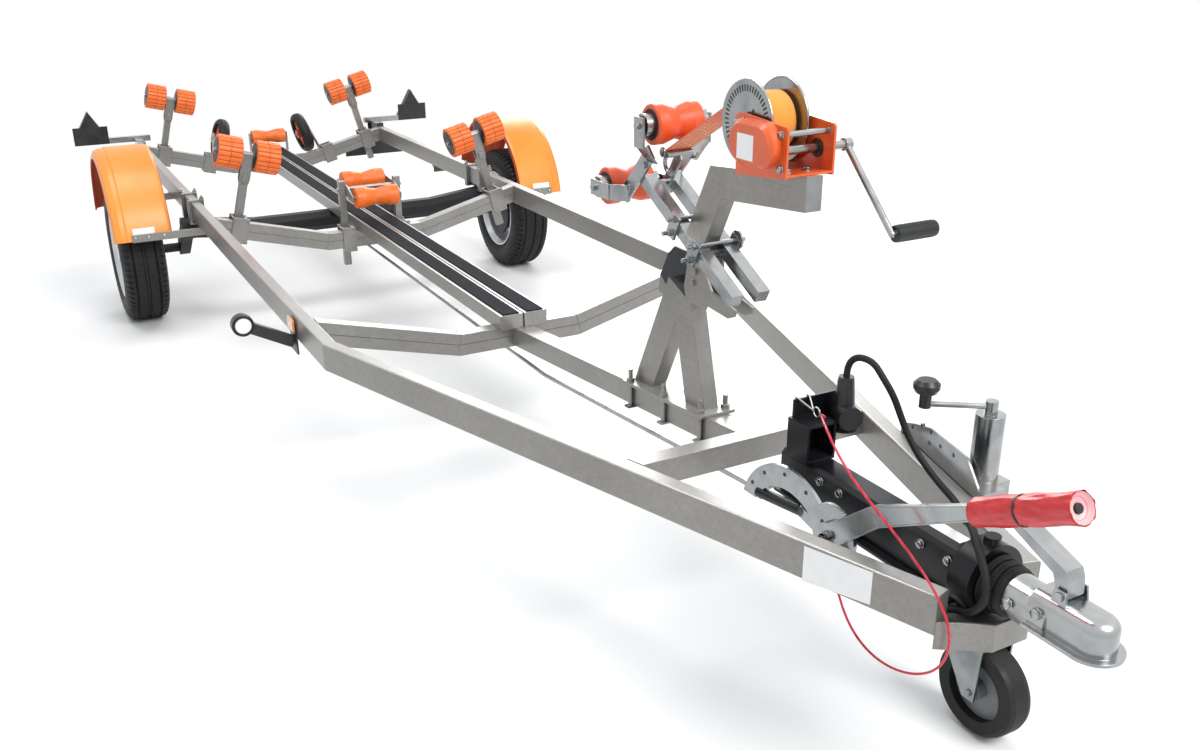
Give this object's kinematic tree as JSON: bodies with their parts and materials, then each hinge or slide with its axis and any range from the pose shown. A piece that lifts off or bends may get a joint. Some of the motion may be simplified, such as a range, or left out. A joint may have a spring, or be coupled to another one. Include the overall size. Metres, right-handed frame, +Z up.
{
  "type": "single-axle boat trailer with keel planks and hull rollers",
  "caption": "Braked single-axle boat trailer: zinc-coated cranked frame, keel planks, orange rollers, winch post, overrun coupling, jockey wheel",
  "frame": {"origin": "On the ground, under the middle of the whole trailer's box.", "axes": "+X forward to the coupling, +Y to the trailer's left, +Z up."},
  "size_m": [5.991, 2.066, 1.339],
  "materials": {
    "zinc_steel": "hot-dip galvanised, light spangle",
    "black_paint": "satin black coating",
    "red_paint": "orange-red powder coat",
    "silver_paint": "silver lacquer",
    "orange_plastic": "moulded orange, dull inside",
    "orange_rubber": "soft orange elastomer",
    "black_rubber": "matt black",
    "tyre_rubber": "matt black with road tread",
    "orange_webbing": "woven polyester webbing",
    "black_plastic": "matt black",
    "red_plastic": "red sheathed wire rope"
  },
  "bodies": {
    "chassis": {"axle_clamps": "zinc_steel", "bow_stop_frame": "zinc_steel", "brake_gear": "zinc_steel", "breakaway_cable": "red_plastic", "cable_hook": "zinc_steel", "centre_beam": "zinc_steel", "coupling_head": "zinc_steel", "cross_beam_front": "zinc_steel", "cross_beam_mid": "zinc_steel", "cross_beam_rear": "zinc_steel", "drawbar_members": "zinc_steel", "jockey_post": "zinc_steel", "keel_planks": "zinc_steel", "lead_cord": "black_rubber", "marker_lamps": "black_rubber", "mudguard_left": "orange_plastic", "mudguard_right": "orange_plastic", "mudguard_stays": "zinc_steel", "overrun_housing": "black_paint", "plank_treads": "black_rubber", "plug": "black_plastic", "plug_holder": "black_paint", "rear_roller_brackets": "zinc_steel", "rocker_uprights": "zinc_steel", "roller_posts": "zinc_steel", "side_rail_left": "zinc_steel", "side_rail_right": "zinc_steel", "slider_clamps": "zinc_steel", "tail_lamp_sets": "zinc_steel", "torsion_axle": "black_paint", "winch_arm": "zinc_steel", "winch_frame": "red_paint", "winch_stand": "zinc_steel", "winch_strap": "orange_webbing"},
    "wheel_right_body": {"tyre_right": "tyre_rubber", "wheel_right": "silver_paint"},
    "wheel_left_body": {"tyre_left": "tyre_rubber", "wheel_left": "silver_paint"},
    "yoke_mid_right_body": {"yoke_mid_right": "zinc_steel"},
    "yoke_mid_left_body": {"yoke_mid_left": "zinc_steel"},
    "yoke_rear_right_body": {"yoke_rear_right": "zinc_steel"},
    "yoke_rear_left_body": {"yoke_rear_left": "zinc_steel"},
    "roller_mid_right_body": {"roller_pair_mid_right": "orange_rubber"},
    "roller_mid_left_body": {"roller_pair_mid_left": "orange_rubber"},
    "roller_rear_right_body": {"roller_pair_rear_right": "orange_rubber"},
    "roller_rear_left_body": {"roller_pair_rear_left": "orange_rubber"},
    "rocker_body": {"rocker_frame": "zinc_steel"},
    "rocker_front_body": {"rocker_roller_front": "orange_rubber"},
    "rocker_rear_body": {"rocker_roller_rear": "orange_rubber"},
    "rear_keel_roller_body": {"rear_keel_roller": "orange_rubber"},
    "guide_right_body": {"guide_wheel_right": "black_rubber"},
    "guide_left_body": {"guide_wheel_left": "black_rubber"},
    "bow_upper_body": {"bow_roller_upper": "orange_rubber"},
    "bow_lower_body": {"bow_roller_lower": "orange_rubber"},
    "drum_body": {"winch_drum": "zinc_steel"},
    "crank_body": {"winch_crank": "zinc_steel"},
    "coupling_lever_body": {"coupling_lever": "zinc_steel"},
    "handbrake_body": {"handbrake_lever": "zinc_steel"},
    "jockey_fork_body": {"jockey_fork": "zinc_steel"},
    "jockey_wheel_body": {"jockey_wheel": "black_rubber"}
  },
  "joints": [
    {"name": "wheel_right_spin", "type": "hinge", "parent": "chassis", "child": "wheel_right_body", "pos_m": [-1.4005, -0.918, 0.298], "axis": [0, 1, 0], "continuous": true},
    {"name": "yoke_mid_right_tilt", "type": "hinge", "parent": "chassis", "child": "yoke_mid_right_body", "pos_m": [-0.8188, -0.52189, 0.6929], "axis": [1, 0, 0], "range_deg": [-15, 15]},
    {"name": "roller_mid_right_spin", "type": "hinge", "parent": "yoke_mid_right_body", "child": "roller_mid_right_body", "pos_m": [-0.8188, -0.49753, 0.78679], "axis": [0, -0.968, 0.2511], "continuous": true},
    {"name": "yoke_rear_right_tilt", "type": "hinge", "parent": "chassis", "child": "yoke_rear_right_body", "pos_m": [-2.7538, -0.52189, 0.6929], "axis": [1, 0, 0], "range_deg": [-15, 15]},
    {"name": "roller_rear_right_spin", "type": "hinge", "parent": "yoke_rear_right_body", "child": "roller_rear_right_body", "pos_m": [-2.7538, -0.49753, 0.78679], "axis": [0, -0.968, 0.2511], "continuous": true},
    {"name": "guide_wheel_right_spin", "type": "hinge", "parent": "chassis", "child": "guide_right_body", "pos_m": [-2.8805, -0.23761, 0.53031], "axis": [0, -0.968, 0.2511], "continuous": true},
    {"name": "wheel_left_spin", "type": "hinge", "parent": "chassis", "child": "wheel_left_body", "pos_m": [-1.4005, 0.918, 0.298], "axis": [0, 1, 0], "continuous": true},
    {"name": "yoke_mid_left_tilt", "type": "hinge", "parent": "chassis", "child": "yoke_mid_left_body", "pos_m": [-0.8188, 0.52189, 0.6929], "axis": [1, 0, 0], "range_deg": [-15, 15]},
    {"name": "roller_mid_left_spin", "type": "hinge", "parent": "yoke_mid_left_body", "child": "roller_mid_left_body", "pos_m": [-0.8188, 0.49753, 0.78679], "axis": [0, 0.968, 0.2511], "continuous": true},
    {"name": "yoke_rear_left_tilt", "type": "hinge", "parent": "chassis", "child": "yoke_rear_left_body", "pos_m": [-2.7538, 0.52189, 0.6929], "axis": [1, 0, 0], "range_deg": [-15, 15]},
    {"name": "roller_rear_left_spin", "type": "hinge", "parent": "yoke_rear_left_body", "child": "roller_rear_left_body", "pos_m": [-2.7538, 0.49753, 0.78679], "axis": [0, 0.968, 0.2511], "continuous": true},
    {"name": "guide_wheel_left_spin", "type": "hinge", "parent": "chassis", "child": "guide_left_body", "pos_m": [-2.8805, 0.23761, 0.53031], "axis": [0, 0.968, 0.2511], "continuous": true},
    {"name": "rocker_tilt", "type": "hinge", "parent": "chassis", "child": "rocker_body", "pos_m": [-0.8188, 0, 0.605], "axis": [0, 1, 0], "range_deg": [-8, 15]},
    {"name": "rocker_roller_front_spin", "type": "hinge", "parent": "rocker_body", "child": "rocker_front_body", "pos_m": [-0.7268, 0, 0.58], "axis": [0, 1, 0], "continuous": true},
    {"name": "rocker_roller_rear_spin", "type": "hinge", "parent": "rocker_body", "child": "rocker_rear_body", "pos_m": [-0.9108, 0, 0.618], "axis": [0, 1, 0], "continuous": true},
    {"name": "rear_keel_roller_spin", "type": "hinge", "parent": "chassis", "child": "rear_keel_roller_body", "pos_m": [-2.7155, 0, 0.551], "axis": [0, 1, 0], "continuous": true},
    {"name": "bow_roller_upper_spin", "type": "hinge", "parent": "chassis", "child": "bow_upper_body", "pos_m": [1.6495, 0, 1.201], "axis": [0, 1, 0], "continuous": true},
    {"name": "bow_roller_lower_spin", "type": "hinge", "parent": "chassis", "child": "bow_lower_body", "pos_m": [1.4315, 0, 1.019], "axis": [0, 1, 0], "continuous": true},
    {"name": "winch_drum_spin", "type": "hinge", "parent": "chassis", "child": "drum_body", "pos_m": [2.0045, 0, 1.251], "axis": [0, 1, 0], "continuous": true},
    {"name": "winch_crank_spin", "type": "hinge", "parent": "chassis", "child": "crank_body", "pos_m": [2.1115, 0, 1.208], "axis": [0, 1, 0], "continuous": true},
    {"name": "coupling_lever_lift", "type": "hinge", "parent": "chassis", "child": "coupling_lever_body", "pos_m": [2.8895, 0, 0.61], "axis": [0, 1, 0], "range_deg": [0, 35]},
    {"name": "handbrake_swing", "type": "hinge", "parent": "chassis", "child": "handbrake_body", "pos_m": [2.4135, -0.1, 0.506], "axis": [0, -1, 0], "range_deg": [-10, 45]},
    {"name": "jockey_swivel", "type": "hinge", "parent": "chassis", "child": "jockey_fork_body", "pos_m": [2.4625, 0.252, 0.318], "axis": [0, 0, 1], "continuous": true},
    {"name": "jockey_wheel_spin", "type": "hinge", "parent": "jockey_fork_body", "child": "jockey_wheel_body", "pos_m": [2.5375, 0.252, 0.105], "axis": [0, 1, 0], "continuous": true}
  ],
  "couplings": [
    {"joint": "winch_crank_spin", "follows": "winch_drum_spin", "ratio": -4}
  ]
}
